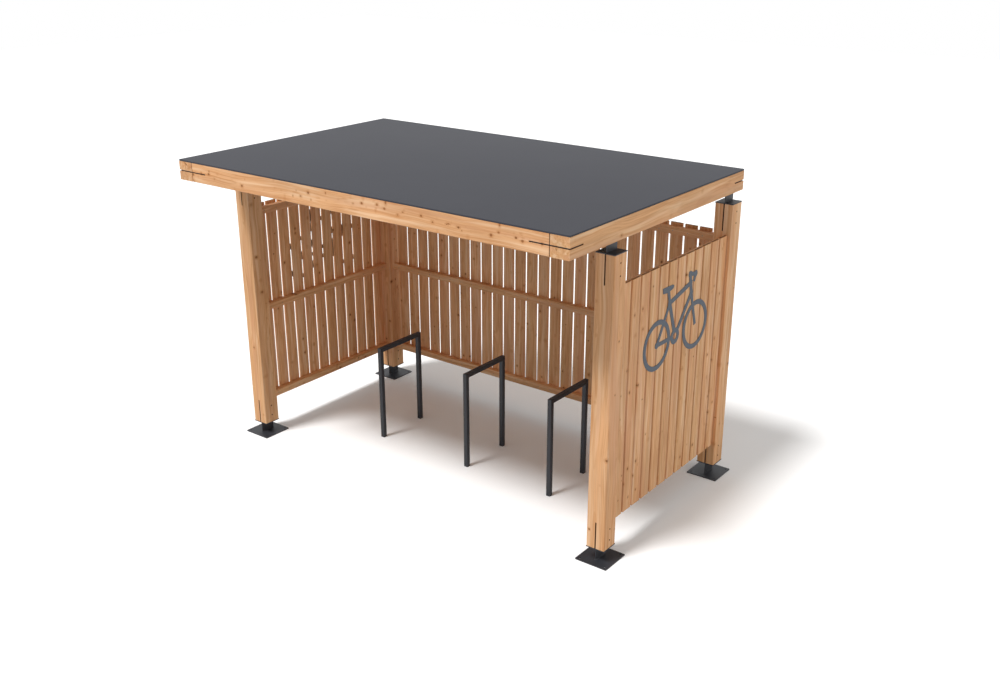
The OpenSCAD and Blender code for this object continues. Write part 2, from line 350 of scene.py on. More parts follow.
def read_rows(items: bpy_prop_collection, name: str) -> np.ndarray:
    """Reads one vector of each point or face of a mesh.

    Args:
        items: Points, faces or normals of the mesh.
        name: Name of the vector.

    Returns:
        The vectors, one a row.
    """
    found = np.zeros(len(items) * 3, np.float32)
    items.foreach_get(name, found)
    return found.reshape(-1, 3).astype(float)


def new_object(name: str, data: ID) -> Object:
    """Makes an object at the origin and links it to the scene.

    Args:
        name: Name of the object.
        data: Its mesh, lamp or camera.

    Returns:
        The new object.
    """
    made = bpy.data.objects.new(name, data)
    bpy.context.scene.collection.objects.link(made)
    return made


def settle(piece: Object, finish: Material, slot: str, *nodes: str) -> None:
    """Gives a piece its finish and its body, and hides the nodes that it stands for.

    Args:
        piece: The piece.
        finish: Its finish.
        slot: Not used.
        *nodes: Nodes that it replaces.
    """
    piece.data.materials.clear()
    piece.data.materials.append(finish)
    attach(piece, BODY)
    if nodes:
        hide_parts(*nodes)
    LOG.info("%s: %d faces", piece.name, len(piece.data.polygons))


def make_piece(name: str, solids: list[Solid], finish: Material, slot: str, *nodes: str,
               smooth: float = 40.0) -> None:
    """Joins solids to one piece at the origin, and settles it.

    Args:
        name: Name of the piece.
        solids: What it is made of.
        finish: Its finish.
        slot: Material slot of the record.
        *nodes: Nodes that it replaces.
        smooth: Angle in degrees under which neighbouring faces shade as one.
    """
    points = np.concatenate([s.points for s in solids])
    starts = np.cumsum([0] + [len(s.points) for s in solids[:-1]])
    faces = [[int(k + start) for k in f] for s, start in zip(solids, starts) for f in s.faces]
    mesh = bpy.data.meshes.new(name)
    mesh.from_pydata(points.tolist(), [], faces)
    mesh.update()
    if solids[0].place is not None:
        place = np.concatenate([s.place for s in solids])
        tone = np.concatenate([np.full(len(s.points), s.tone) for s in solids])
        along = np.concatenate([np.full(len(s.faces), s.axis.value[2]) for s in solids])
        normals = read_rows(mesh.polygon_normals, "vector")
        ends = (np.abs(normals[np.arange(len(normals)), along]) > END_FACING).astype(float)
        dress_mesh(mesh, place, tone, ends)
    mesh.polygons.foreach_set("use_smooth", [True] * len(mesh.polygons))
    mesh.set_sharp_from_angle(angle=math.radians(smooth))
    settle(new_object(name, mesh), finish, slot, *nodes)


def merged_copy(node: str, name: str) -> Object:
    """Copies a node's mesh, closes its seams and joins its flat faces.

    Args:
        node: The node.
        name: Name of the new piece.

    Returns:
        The new object, at the origin.
    """
    shape = bmesh.new()
    shape.from_mesh(NODES[node].data)
    bmesh.ops.remove_doubles(shape, verts=shape.verts, dist=SEAM)
    bmesh.ops.dissolve_limit(shape, angle_limit=FLAT, verts=shape.verts, edges=shape.edges)
    mesh = bpy.data.meshes.new(name)
    shape.to_mesh(mesh)
    shape.free()
    mesh.update()
    return new_object(name, mesh)


def break_edges(piece: Object, width: float, segments: int, angle: float) -> None:
    """Bevels the sharp edges of a steel piece, as they are broken before it is coated.

    Args:
        piece: The piece.
        width: Width of the bevel.
        segments: Faces across the bevel.
        angle: Turn in degrees from which an edge counts as sharp.
    """
    modifier = piece.modifiers.new("broken edges", "BEVEL")
    modifier.width = width
    modifier.segments = segments
    modifier.limit_method = "ANGLE"
    modifier.angle_limit = math.radians(angle)


# Finishes


@dataclass(frozen=True)
class PlanedLarch:
    """Larch, planed and left bare: warm early wood, darker late wood lines and brown knots.

    The surface is dull, because planed softwood soaks up light, with a faint relief of rings.
    Values that end in cells count the cells of a noise in a metre across the log and along it.
    """

    name: str = "planed_larch"
    early: str = "#ECB37F"
    late: str = "#D19058"
    deep: str = "#C17A3E"
    pale: str = "#F6C799"
    rosy: str = "#DD9F73"
    knot_rim: str = "#AE7344"
    knot_heart: str = "#88562B"
    # Colour of sawn ends: end grain's own darkness, deepened as painted shade for the shaded board tops and
    # the kerf and bore walls
    end_grain_and_shade: str = "#744E2C"
    pith_wander: float = 70 * MM
    wander_cells: tuple = (1.2, 1.5)
    ring_width: float = 9 * MM  # real rings are 3 to 5 mm, drawn wider so that they show
    ring_wobble: float = 8 * MM
    wobble_cells: tuple = (22.0, 5.0)
    fibre_width: float = 5 * MM
    fibre_length: float = 260 * MM
    fibre_scale: float = 0.35  # about three fibres show as one streak
    patch_cells: tuple = (9.0, 1.6)
    band_cells: tuple = (34.0, 1.3)
    blush_cells: tuple = (16.0, 0.9)
    knot_spacing: float = 130 * MM
    knot_turns: float = 1.3
    knot_least: float = 3 * MM
    knot_most: float = 9 * MM
    knot_bend: float = 9 * MM
    knot_height: float = 0.8  # under one, because a slanting branch is cut to a tall oval
    tone_step: float = 0.035
    hue_step: float = -0.002
    end_share: float = 0.85  # sawn ends are dark end grain, taken darker still as painted shade on the board tops under the roof
    end_roughness: float = 0.95
    roughness: float = 0.62
    relief: float = 0.5 * MM
    gloss: float = 0.25  # bare softwood mirrors half of what a lacquered one does

    def material(self) -> Material:
        """Builds the wood from the place of each point in its log.

        The rings are circles about the pith, r / ring_width, and the pith wanders along the
        log. A knot is a cone about a branch that leaves the pith at a random turn and height.

        Returns:
            The finished material.
        """
        material, tree = new_material(self.name)
        place = add(tree, "Attribute", attribute_name="log_place").outputs["Vector"]
        tone = add(tree, "Attribute", attribute_name="board_tone").outputs["Fac"]
        ends = add(tree, "Attribute", attribute_name="end_grain_and_shade").outputs["Fac"]

        wander = self.figure(tree, place, self.wander_cells, 2.0, 0.45).outputs["Color"]
        centred = add(tree, "VectorMath", {0: wander, 1: (0.5,) * 3}, operation="SUBTRACT")
        reach = (self.pith_wander, self.pith_wander, 0.0)
        shift = add(tree, "VectorMath", {0: centred, 1: reach}, operation="MULTIPLY")
        moved = add(tree, "VectorMath", {0: place, 1: shift}, operation="ADD")
        parts = add(tree, "SeparateXYZ", {0: moved}).outputs
        cross = add(tree, "CombineXYZ", {"X": parts["X"], "Y": parts["Y"]})
        radius = add(tree, "VectorMath", {0: cross}, operation="LENGTH").outputs["Value"]
        way = add(tree, "VectorMath", {0: cross}, operation="NORMALIZE")

        knot, halo, pick = self.knots(tree, way, parts["Z"], radius)
        ring = self.rings(tree, radius, halo, place)
        fibre_cells = (1 / self.fibre_width, 1 / self.fibre_length)
        fibre = self.figure(tree, moved, fibre_cells, 5.0, 0.62, self.fibre_scale)
        patch = self.figure(tree, place, self.patch_cells, 2.0)
        band = self.figure(tree, moved, self.band_cells, 2.0)
        blush = self.figure(tree, place, self.blush_cells, 3.0)

        wood = stain(tree, linear(self.early), self.late, ring, span=(0.0, 1.0), share=0.55)
        wood = stain(tree, wood, self.deep, fibre, span=(0.46, 0.7), share=0.65)
        wood = stain(tree, wood, self.pale, band, span=(0.48, 0.68), share=0.9)
        wood = stain(tree, wood, self.rosy, blush, span=(0.5, 0.66), share=0.6)
        wood = stain(tree, wood, self.deep, halo, span=(0.0, 1.0), share=0.5)
        heart = stain(tree, linear(self.knot_rim), self.knot_heart, pick, span=(0.0, 1.0), share=1.0)
        wood = add(tree, "Mix", {0: knot, 6: wood, 7: heart}, data_type="RGBA").outputs[2]
        # Sawn ends darken to the end colour: partly end grain, partly painted shade on the board tops under
        # the roof and in kerfs and bores
        wood = stain(tree, wood, self.end_grain_and_shade, ends, span=(0.0, 1.0), share=self.end_share)

        patchy = add(tree, "MapRange", {"Value": patch, "From Min": 0.3, "From Max": 0.7,
                                        "To Min": 0.9, "To Max": 1.08})
        level = add(tree, "Math", {0: tone, 1: self.tone_step, 2: patchy}, operation="MULTIPLY_ADD")
        hue = add(tree, "Math", {0: tone, 1: self.hue_step, 2: 0.5}, operation="MULTIPLY_ADD")
        colour = add(tree, "HueSaturation", {"Hue": hue, "Value": level, "Color": wood})

        relief = add(tree, "Math", {0: fibre, 1: 0.7, 2: ring}, operation="MULTIPLY_ADD")
        bump = add(tree, "Bump", {"Strength": 0.35, "Distance": self.relief, "Height": relief})
        rough = add(tree, "MapRange", {"Value": ring, "To Min": self.roughness,
                                       "To Max": self.roughness - 0.08})
        rough = add(tree, "Mix", {0: ends, 2: rough, 3: self.end_roughness})
        surface = add(tree, "BsdfPrincipled", {"Base Color": colour, "Roughness": rough,
                                               "IOR": 1.45, "Specular IOR Level": self.gloss, "Normal": bump})
        add(tree, "OutputMaterial", {"Surface": surface})
        return material

    def figure(self, tree: NodeTree, place: Feed, cells: tuple, detail: float, roughness: float = 0.5,
               scale: float = 1.0) -> Node:
        """Noise whose cells are drawn out along the log.

        Args:
            tree: The node tree.
            place: Place in the log.
            cells: Cells in a metre across the log, and along it.
            detail: Layers of finer noise.
            roughness: Strength of the finer layers.
            scale: Factor on the cells.

        Returns:
            The noise, with its strength as its first output.
        """
        across, along = cells
        stretched = add(tree, "VectorMath", {0: place, 1: (across, across, along)}, operation="MULTIPLY")
        return add(tree, "TexNoise", {"Vector": stretched, "Scale": scale, "Detail": detail,
                                      "Roughness": roughness})

    def knots(self, tree: NodeTree, way: Feed, along: Feed, radius: Feed) -> tuple[Feed, Feed, Feed]:
        """Finds the nearest branch and how far its middle is.

        Args:
            tree: The node tree.
            way: Unit vector from the pith.
            along: Distance along the log.
            radius: Distance from the pith.

        Returns:
            Knot, from 0 to 1, the grain that bends round it, and a random shade.
        """
        turned = add(tree, "VectorMath", {0: way, 1: (self.knot_turns,) * 3}, operation="MULTIPLY")
        height = add(tree, "Math", {0: along, 1: 1 / self.knot_spacing}, operation="MULTIPLY")
        lift = add(tree, "CombineXYZ", {"Z": height})
        spot = add(tree, "VectorMath", {0: turned, 1: lift}, operation="ADD")
        cells = add(tree, "TexVoronoi", {"Vector": spot, "Scale": 1.0}, feature="F1").outputs
        away = add(tree, "VectorMath", {0: spot, 1: cells["Position"]}, operation="SUBTRACT")
        split = add(tree, "SeparateXYZ", {0: away}).outputs
        flat = add(tree, "CombineXYZ", {"X": split[0], "Y": split[1]})
        across = add(tree, "VectorMath", {0: flat}, operation="LENGTH").outputs["Value"]
        scale = add(tree, "Math", {0: radius, 1: 1 / self.knot_turns}, operation="MULTIPLY")
        wide = add(tree, "Math", {0: across, 1: scale}, operation="MULTIPLY")
        tall = add(tree, "Math", {0: split[2], 1: self.knot_spacing * self.knot_height}, operation="MULTIPLY")
        span = add(tree, "CombineXYZ", {"X": wide, "Y": tall})
        distance = add(tree, "VectorMath", {0: span}, operation="LENGTH").outputs["Value"]
        random = add(tree, "SeparateColor", {0: cells["Color"]}).outputs
        size = add(tree, "MapRange", {"Value": random[0], "To Min": self.knot_least,
                                      "To Max": self.knot_most})
        share = add(tree, "Math", {0: distance, 1: size}, operation="DIVIDE")
        knot, halo = (add(tree, "MapRange", {"Value": share, "From Min": edge, "From Max": 0.6},
                          interpolation_type="SMOOTHSTEP") for edge in (1.3, 3.0))
        return knot, halo, random[1]

    def rings(self, tree: NodeTree, radius: Feed, halo: Feed, place: Feed) -> Feed:
        """Growth rings: each darkens slowly to its late wood and ends sharply.

        Args:
            tree: The node tree.
            radius: Distance from the pith.
            halo: Bend of the grain round knots.
            place: Place in the log.

        Returns:
            The darkness of the late wood.
        """
        wobble = self.figure(tree, place, self.wobble_cells, 1.0)
        bent = add(tree, "Math", {0: halo, 1: self.knot_bend, 2: radius}, operation="MULTIPLY_ADD")
        bent = add(tree, "Math", {0: wobble, 1: self.ring_wobble, 2: bent}, operation="MULTIPLY_ADD")
        phase = add(tree, "Math", {0: bent, 1: 1 / self.ring_width}, operation="MULTIPLY")
        part = add(tree, "Math", {0: phase}, operation="FRACT")
        whole = add(tree, "Math", {0: phase}, operation="FLOOR")
        rise = add(tree, "MapRange", {"Value": part, "From Min": 0.3, "From Max": 0.9},
                   interpolation_type="SMOOTHSTEP")
        fall = add(tree, "MapRange", {"Value": part, "From Min": 1.0, "From Max": 0.92})
        chance = add(tree, "TexWhiteNoise", {"W": whole}, noise_dimensions="1D").outputs["Value"]
        strength = add(tree, "MapRange", {"Value": chance, "To Min": 0.35})
        line = add(tree, "Math", {0: rise, 1: fall}, operation="MULTIPLY")
        return add(tree, "Math", {0: line, 1: strength}, operation="MULTIPLY")


@dataclass(frozen=True)
class PowderCoat:
    """Steel with a baked powder coat: an even dull colour with a fine, softly pebbled skin."""

    name: str = "powder_coated_steel"
    colour: str = "#25262B"
    worn: str = "#313238"
    pebble: float = 2.5 * MM  # the real pebbles are under 1 mm, drawn coarser so that they show
    relief: float = 0.15 * MM
    cloud: float = 9.0  # clouds of dust in a metre
    roughness: float = 0.5

    def material(self) -> Material:
        """Builds the coat from noise of the pebbles' size and a faint cloud of dust.

        Returns:
            The finished material.
        """
        material, tree = new_material(self.name)
        place = add(tree, "TexCoord").outputs["Object"]
        pebbles = add(tree, "TexNoise", {"Vector": place, "Scale": 1 / self.pebble, "Detail": 2.0})
        dust = add(tree, "TexNoise", {"Vector": place, "Scale": self.cloud, "Detail": 3.0})
        colour = stain(tree, linear(self.colour), self.worn, dust, span=(0.42, 0.75), share=0.7)
        rough = add(tree, "MapRange", {"Value": dust, "To Min": self.roughness - 0.06,
                                       "To Max": self.roughness + 0.1})
        bump = add(tree, "Bump", {"Strength": 0.25, "Distance": self.relief, "Height": pebbles})
        surface = add(tree, "BsdfPrincipled", {"Base Color": colour, "Roughness": rough,
                                               "IOR": 1.5, "Normal": bump})
        add(tree, "OutputMaterial", {"Surface": surface})
        return material


@dataclass(frozen=True)
class RoofMembrane:
    """Synthetic rubber roofing: a matt dark grey sheet with a fine grain and a little dust."""

    name: str = "roofing_membrane"
    colour: str = "#393A40"
    dusty: str = "#3D3E44"
    grain: float = 4 * MM
    relief: float = 0.25 * MM
    drift: float = 1.4  # drifts of dust in a metre
    roughness: float = 0.8

    def material(self) -> Material:
        """Builds the sheet from fine grain over slow drifts of dust.

        Returns:
            The finished material.
        """
        material, tree = new_material(self.name)
        place = add(tree, "TexCoord").outputs["Object"]
        fine = add(tree, "TexNoise", {"Vector": place, "Scale": 1 / self.grain, "Detail": 2.0})
        dust = add(tree, "TexNoise", {"Vector": place, "Scale": self.drift, "Detail": 5.0, "Roughness": 0.6})
        sheet = stain(tree, linear(self.colour), self.dusty, dust, span=(0.4, 0.7), share=0.45)
        level = add(tree, "MapRange", {"Value": fine, "From Min": 0.3, "From Max": 0.7,
                                       "To Min": 0.95, "To Max": 1.05})
        colour = add(tree, "HueSaturation", {"Value": level, "Color": sheet})
        bump = add(tree, "Bump", {"Strength": 0.3, "Distance": self.relief, "Height": fine})
        surface = add(tree, "BsdfPrincipled", {"Base Color": colour, "Roughness": self.roughness,
                                               "IOR": 1.45, "Normal": bump})
        add(tree, "OutputMaterial", {"Surface": surface})
        return material


@dataclass(frozen=True)
class StainlessScrew:
    """Stainless steel of the wood screws: bright, turned and a little scratched."""

    name: str = "stainless_screws"
    colour: str = "#8E8B86"
    scratch: float = 1.5 * MM
    roughness: float = 0.4

    def material(self) -> Material:
        """Builds the metal with fine scratches in its gloss.

        Returns:
            The finished material.
        """
        material, tree = new_material(self.name)
        place = add(tree, "TexCoord").outputs["Object"]
        scratch = add(tree, "TexNoise", {"Vector": place, "Scale": 1 / self.scratch, "Detail": 2.0})
        rough = add(tree, "MapRange", {"Value": scratch, "To Min": self.roughness - 0.08,
                                       "To Max": self.roughness + 0.14})
        surface = add(tree, "BsdfPrincipled", {"Base Color": linear(self.colour), "Metallic": 1.0,
                                               "Roughness": rough})
        add(tree, "OutputMaterial", {"Surface": surface})
        return material


class Finishes:
    """The finishes of the shelter, each made once."""

    def __init__(self) -> None:
        """Makes the materials."""
        self.larch = PlanedLarch().material()
        self.deck = PlanedLarch(name="rough_sawn_spruce", early="#C4B7A1", late="#AFA088", deep="#9B8A71",
                                pale="#D0C5B2", rosy="#C0AE98", roughness=0.85).material()
        self.steel = PowderCoat().material()
        self.membrane = RoofMembrane().material()
        # Near-black strips in the beams' open joints: painted shadow where the joint shows only shade
        self.painted_joint_shade = RoofMembrane(name="joint_shade_paint", colour="#17110D", dusty="#1E1712",
                                 grain=1.5 * MM).material()
        self.screws = StainlessScrew().material()
        self.sign = PowderCoat(name="powder_coated_sign", colour="#464E58", worn="#4E5660",
                               roughness=0.55).material()


# The shelter's sub-assemblies


@dataclass
class Sawmill:
    """Cuts logs with a seeded choice of place and tone, so that no two timbers look alike."""

    seed: int = 7
    log_length: float = 60.0  # far over a timber's length, so that few share a stretch
    heart_off: float = 45 * MM
    heart_tone: float = 0.6
    side_off: float = 40 * MM
    side_depth: tuple = (50 * MM, 130 * MM)

    def __post_init__(self) -> None:
        """Starts the seeded choice."""
        self.random = np.random.default_rng(self.seed)

    def heart(self, axis: Axis) -> Log:
        """A heavy timber sawn round the heart of its log.

        Args:
            axis: Way of the log.

        Returns:
            The log.
        """
        pith = self.random.uniform(-self.heart_off, self.heart_off, 2)
        start = self.random.uniform(0, self.log_length)
        return Log(axis, (pith[0], pith[1]), start, self.random.uniform(-self.heart_tone, self.heart_tone))

    def side(self, axis: Axis, wide_first: bool) -> Log:
        """A board sawn from the side of its log, with the pith well under its flat face.

        Args:
            axis: Way of the log.
            wide_first: Whether the board is wide on the first of its cross axes.

        Returns:
            The log.
        """
        sideways = self.random.uniform(-self.side_off, self.side_off)
        depth = self.random.uniform(*self.side_depth) * self.random.choice([-1, 1])
        pith = (sideways, depth) if wide_first else (depth, sideways)
        return Log(axis, pith, self.random.uniform(0, self.log_length), self.random.uniform(-1, 1))


@dataclass
class TimberFrame:
    """Posts, beams and joists of the shelter, in the exact shapes of the construction."""

    mill: Sawmill
    finishes: Finishes
    posts: tuple = ("post_front_left", "post_front_right", "post_back_left", "post_back_right")
    side_beams: tuple = ("beam_left", "beam_right")
    cross_beams: tuple = ("beam_front", "beam_back")
    joists: tuple = tuple(f"roof_joist_{i}" for i in range(1, 6))
    arris: float = 1.5 * MM
    end_tone: float = 0.1  # heavy timber is planed on its ends too, which closes the grain
    skin: float = 5 * MM  # a face deeper than this is the wall of a kerf or a bore, which gets painted shade

    def build(self) -> None:
        """Dresses every heavy timber."""
        for names, axis in ((self.posts, Axis.Z), (self.side_beams, Axis.Y), (self.cross_beams, Axis.X)):
            for node in names:
                self.cut_timber(node, self.mill.heart(axis))
        for node in self.joists:
            low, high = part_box(node)
            solid = timber(low, high, self.mill.side(Axis.Y, wide_first=True), self.arris)
            make_piece(f"{node}_timber", [solid], self.finishes.larch, "wood_frame", node)

    def cut_timber(self, node: str, log: Log) -> None:
        """Copies a timber, sets it in its log and paints shade on the walls of its kerfs and bores with the
        dark end colour.

        Args:
            node: The node.
            log: The log that it is sawn from.
        """
        piece = merged_copy(node, f"{node}_timber")
        mesh = piece.data
        points = read_rows(mesh.vertices, "co")
        low, high = (np.array(corner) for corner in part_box(node))
        middle = (low + high) / 2
        depth = (high - low) / 2 - np.abs(read_rows(mesh.polygons, "center") - middle)
        shaded_recess = np.all(depth > self.skin, axis=1)
        facing = read_rows(mesh.polygon_normals, "vector")[:, log.axis.value[2]]
        planed = self.end_tone * (np.abs(facing) > END_FACING)
        # kerf and bore walls take the full dark end colour: painted shade in the recesses
        ends = np.where(shaded_recess, 1.0, planed)
        dress_mesh(mesh, log.place(points, middle), np.full(len(points), log.tone), ends)
        settle(piece, self.finishes.larch, "wood_frame", node)


@dataclass
class SlattedWall:
    """Upright boards on three rails, with a screw through each rail into each board."""

    name: str
    long_axis: int
    mill: Sawmill
    finishes: Finishes
    levels: tuple = ("bottom", "middle", "top")
    arris: float = 2.2 * MM
    bow: float = 1.2 * MM
    shrink: float = 0.4 * MM
    sawn_short: float = 1.5 * MM
    same_place: float = 0.2 * MM
    touching: float = 1 * MM
    screw_head: float = 3.6 * MM
    screw_rim: float = 0.1 * MM
    screw_rise: float = 0.25 * MM
    screw_play: tuple = (3 * MM, 2 * MM)
    screw_sides: int = 12

    def build(self) -> None:
        """Makes the boards, the rails and the screws of the wall."""
        boards = f"{self.name}_boards"
        rails = [f"{self.name}_rail_{level}" for level in self.levels]
        spans = self.board_spans(boards)
        low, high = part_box(boards)
        across, chance = self.long_axis, self.mill.random.uniform
        solids = []
        for start, end in spans:
            a, b = Vector(low), Vector(high)
            a[across] = start + chance(0, self.shrink)
            b[across] = end - chance(0, self.shrink)
            b.z -= chance(0, self.sawn_short)
            log = self.mill.side(Axis.Z, wide_first=across == 0)
            bow = chance(-self.bow, self.bow) if across == 1 else 0.0
            solids.append(timber(a, b, log, self.arris, bow))
        make_piece(f"{boards}_larch", solids, self.finishes.larch, "wood_boards", boards)
        for node in rails:
            a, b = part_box(node)
            log = self.mill.side(Axis.X if across == 0 else Axis.Y, wide_first=True)
            solid = timber(a, b, log, self.arris)
            make_piece(f"{node}_larch", [solid], self.finishes.larch, "wood_boards", node)
        self.drive_screws(spans, boards, rails)

    def board_spans(self, boards: str) -> list:
        """Finds where each board starts and ends along the wall.

        A bevelled board has four places on that axis: its two edges, and the inner line of
        the bevel beside each.

        Args:
            boards: Node of the boards.

        Returns:
            Pairs of lowest and highest place on the wall's long axis.
        """
        places = np.sort(read_rows(NODES[boards].data.vertices, "co")[:, self.long_axis])
        places = places[np.diff(places, prepend=-np.inf) > self.same_place]
        return [(board[0], board[3]) for board in places.reshape(-1, 4)]

    def drive_screws(self, spans: list, boards: str, rails: list) -> None:
        """Sets a countersunk screw in the inner face of each rail, behind each board.

        The head is a disc with a tapered recess, as a profile turned about its axis.

        Args:
            spans: Where the boards are.
            boards: Node of the boards.
            rails: Nodes of the rails.
        """
        across, flat, chance = self.long_axis, 1 - self.long_axis, self.mill.random.uniform
        boards_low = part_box(boards)[0][flat]
        heads = []
        for node in rails:
            low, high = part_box(node)
            facing = -1.0 if abs(high[flat] - boards_low) < self.touching else 1.0
            axis = np.zeros(3)
            axis[flat] = facing
            for start, end in spans:
                centre = np.zeros(3)
                centre[across] = (start + end) / 2 + chance(-1, 1) * self.screw_play[0]
                centre[flat] = low[flat] if facing < 0 else high[flat]
                centre[2] = (low.z + high.z) / 2 + chance(-1, 1) * self.screw_play[1]
                heads.append(revolve(self.head_profile(), centre, axis, self.screw_sides))
        make_piece(f"{self.name}_screws", heads, self.finishes.screws, "dark_steel", smooth=30)

    def head_profile(self) -> np.ndarray:
        """Outline of a screw head from its cone under the rim to the bottom of its recess.

        Returns:
            Rows of radius and height.
        """
        r, rim, rise = self.screw_head, self.screw_rim, self.screw_rise
        return np.array([[0.4 * r, -0.6 * r], [r, -rim], [r, rim], [0.9 * r, rise], [0.42 * r, rise],
                         [0.36 * r, -0.35 * r], [0.05 * r, -0.4 * r]])


@dataclass
class Roof:
    """Membrane turned down over the roof's edge, boarded deck under it, and near-black strips of painted
    shadow in the beams' joints.
    """

    mill: Sawmill
    finishes: Finishes
    gap_height: float = 1.5 * MM
    gap_depth: float = 2 * MM
    gap_slope: float = 0.4 * MM
    edge_round: float = 2 * MM
    corner_round: float = 4 * MM
    deck_board: float = 120 * MM
    deck_joint: float = 3 * MM
    deck_arris: float = 2.5 * MM
    shade_back: float = 4 * MM
    shade_depth: float = 16 * MM
    shade_round: float = 1.5 * MM
    plate_room: float = 5 * MM

    def build(self) -> None:
        """Makes the covering, the deck and the seals.

        Makes the covering, the deck and the painted shadow in the beams' joints.
        inset = r * (1 - cos t), height = top - r * (1 - sin t).
        """
        low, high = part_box("roof_sheet")
        size = high - low
        middle = np.array(low + high)[:2] / 2
        turn = np.linspace(0, math.pi / 2, 4)
        gap = np.array([[0, self.gap_depth], [self.gap_height, self.gap_depth],
                        [self.gap_height + self.gap_slope, 0]])
        top = np.stack([size.z - self.edge_round * (1 - np.sin(turn)),
                        self.edge_round * (1 - np.cos(turn))], 1)
        rings = []
        for height, draw in np.concatenate([gap, top]):
            outline = rounded_section(size.x - 2 * draw, size.y - 2 * draw, self.corner_round - draw)
            rings.append(level_ring(middle + outline, low.z + height))
        sheet = carry(np.array(rings))
        make_piece("roof_membrane", [sheet], self.finishes.membrane, "roof_covering", "roof_sheet", smooth=50)
        self.lay_deck()
        self.paint_joint_shade()

    def lay_deck(self) -> None:
        """Lays the deck's boards along the shelter, with a small joint between them."""
        low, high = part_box("roof_deck")
        count = round((high.y - low.y) / self.deck_board)
        pitch = (high.y - low.y) / count
        boards = []
        for i in range(count):
            a = Vector((low.x, low.y + i * pitch, low.z))
            b = Vector((high.x, low.y + (i + 1) * pitch - (self.deck_joint if i < count - 1 else 0), high.z))
            boards.append(timber(a, b, self.mill.side(Axis.X, wide_first=True), self.deck_arris))
        make_piece("roof_deck_boards", boards, self.finishes.deck, "roof_deck", "roof_deck")

    def paint_joint_shade(self) -> None:
        """Sets a near-black strip into each open joint of the beams, over and under the corner plate, as
        painted shadow in the joint.

        The strip is a round-cornered section carried upwards.
        """
        strips = []
        for side, beam in ((0, "beam_left"), (1, "beam_right")):
            for cross in ("beam_front", "beam_back"):
                low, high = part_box(cross)
                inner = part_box(beam)[1 - side].x
                end = (low.x, high.x)[side]
                face = low.y + self.shade_back if cross == "beam_front" else high.y - self.shade_back
                inward = 1 if cross == "beam_front" else -1
                section = rounded_section(abs(end - inner), self.shade_depth, self.shade_round)
                section = section + np.array([(end + inner) / 2, face + inward * self.shade_depth / 2])
                middle = (low.z + high.z) / 2
                for bottom, top in ((low.z + self.shade_back, middle - self.plate_room),
                                    (middle + self.plate_room, high.z)):
                    strips.append(carry(np.stack([level_ring(section, bottom), level_ring(section, top)])))
        make_piece("beam_joint_shade_strips", strips, self.finishes.painted_joint_shade, "roof_covering")


@dataclass
class SteelFittings:
    """Feet, heads and corner plates, with softened edges and weld beads."""

    finishes: Finishes
    corners: tuple = ("front_left", "front_right", "back_left", "back_right")
    bevel: float = 0.8 * MM
    blade: tuple = (8 * MM, 120 * MM)
    base_plate: float = 8 * MM
    bearing_plate: float = 6 * MM
    bead: float = 5 * MM
    bead_points: int = 5
    bead_root: float = 1 * MM
    ripple: float = 4.5 * MM
    swell: float = 0.12

    def build(self) -> None:
        """Makes the fittings of the four corners."""
        for corner in self.corners:
            for kind in ("foot", "head", "corner_plate"):
                node = f"{kind}_{corner}"
                piece = merged_copy(node, f"{node}_steel")
                break_edges(piece, self.bevel, segments=2, angle=50)
                settle(piece, self.finishes.steel, "dark_steel", node)
            self.weld_foot(f"foot_{corner}")

    def weld_foot(self, node: str) -> None:
        """Lays a bead round the blade on the base plate, and one under the bearing plate.

        The bead's section is a quarter circle whose size swells a little with each ripple.

        Args:
            node: The foot.
        """
        low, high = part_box(node)
        middle = (low + high) / 2
        plate_top = low.z + self.base_plate
        bearing_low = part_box(node.replace("foot", "post"))[0].z - self.bearing_plate
        beads = [self.bead_round(middle, plate_top, 1), self.bead_round(middle, bearing_low, -1)]
        make_piece(f"{node}_welds", beads, self.finishes.steel, "dark_steel", smooth=60)

    def bead_round(self, middle: Vector, height: float, way: int) -> Solid:
        """A bead round the blade, as a ring of quarter-round sections.

        Args:
            middle: Middle of the foot.
            height: Height of the face that the blade meets.
            way: 1 above the face, -1 under it.

        Returns:
            The bead, closed on itself.
        """
        half = np.array(self.blade) / 2
        corner = np.array([[1, -1], [1, 1], [-1, 1], [-1, -1]]) * half
        legs = np.roll(corner, -1, 0) - corner
        lengths = np.linalg.norm(legs, axis=1)
        path, out = [], []
        for start, leg, length in zip(corner, legs, lengths):
            steps = max(2, round(length / (self.ripple / 3)))
            t = np.linspace(0, 1, steps, endpoint=False)[:, None]
            path.append(start + t * leg)
            normal = np.array([leg[1], -leg[0]]) / length
            out.append(np.repeat(normal[None], steps, 0))
        path, out = np.concatenate(path), np.concatenate(out)
        run = np.cumsum(np.linalg.norm(np.diff(path, axis=0, prepend=path[:1]), axis=1))
        size = self.bead * (1 + self.swell * np.sin(2 * math.pi * run / self.ripple))
        columns = self.bead_points + 1
        centre = np.array(middle)[:2]
        rings = np.zeros((len(path), columns, 3))
        for k, t in enumerate(np.linspace(0, math.pi / 2, self.bead_points)):
            rings[:, k, :2] = centre + path + out * (size * math.cos(t))[:, None]
            rings[:, k, 2] = height + way * size * math.sin(t)
        rings[:, -1, :2] = centre + path - out * self.bead_root
        rings[:, -1, 2] = height
        faces = grid_faces(len(rings) + 1, columns) % (len(rings) * columns)
        if way > 0:
            faces = faces[:, ::-1]
        return Solid(rings.reshape(-1, 3), faces.tolist())


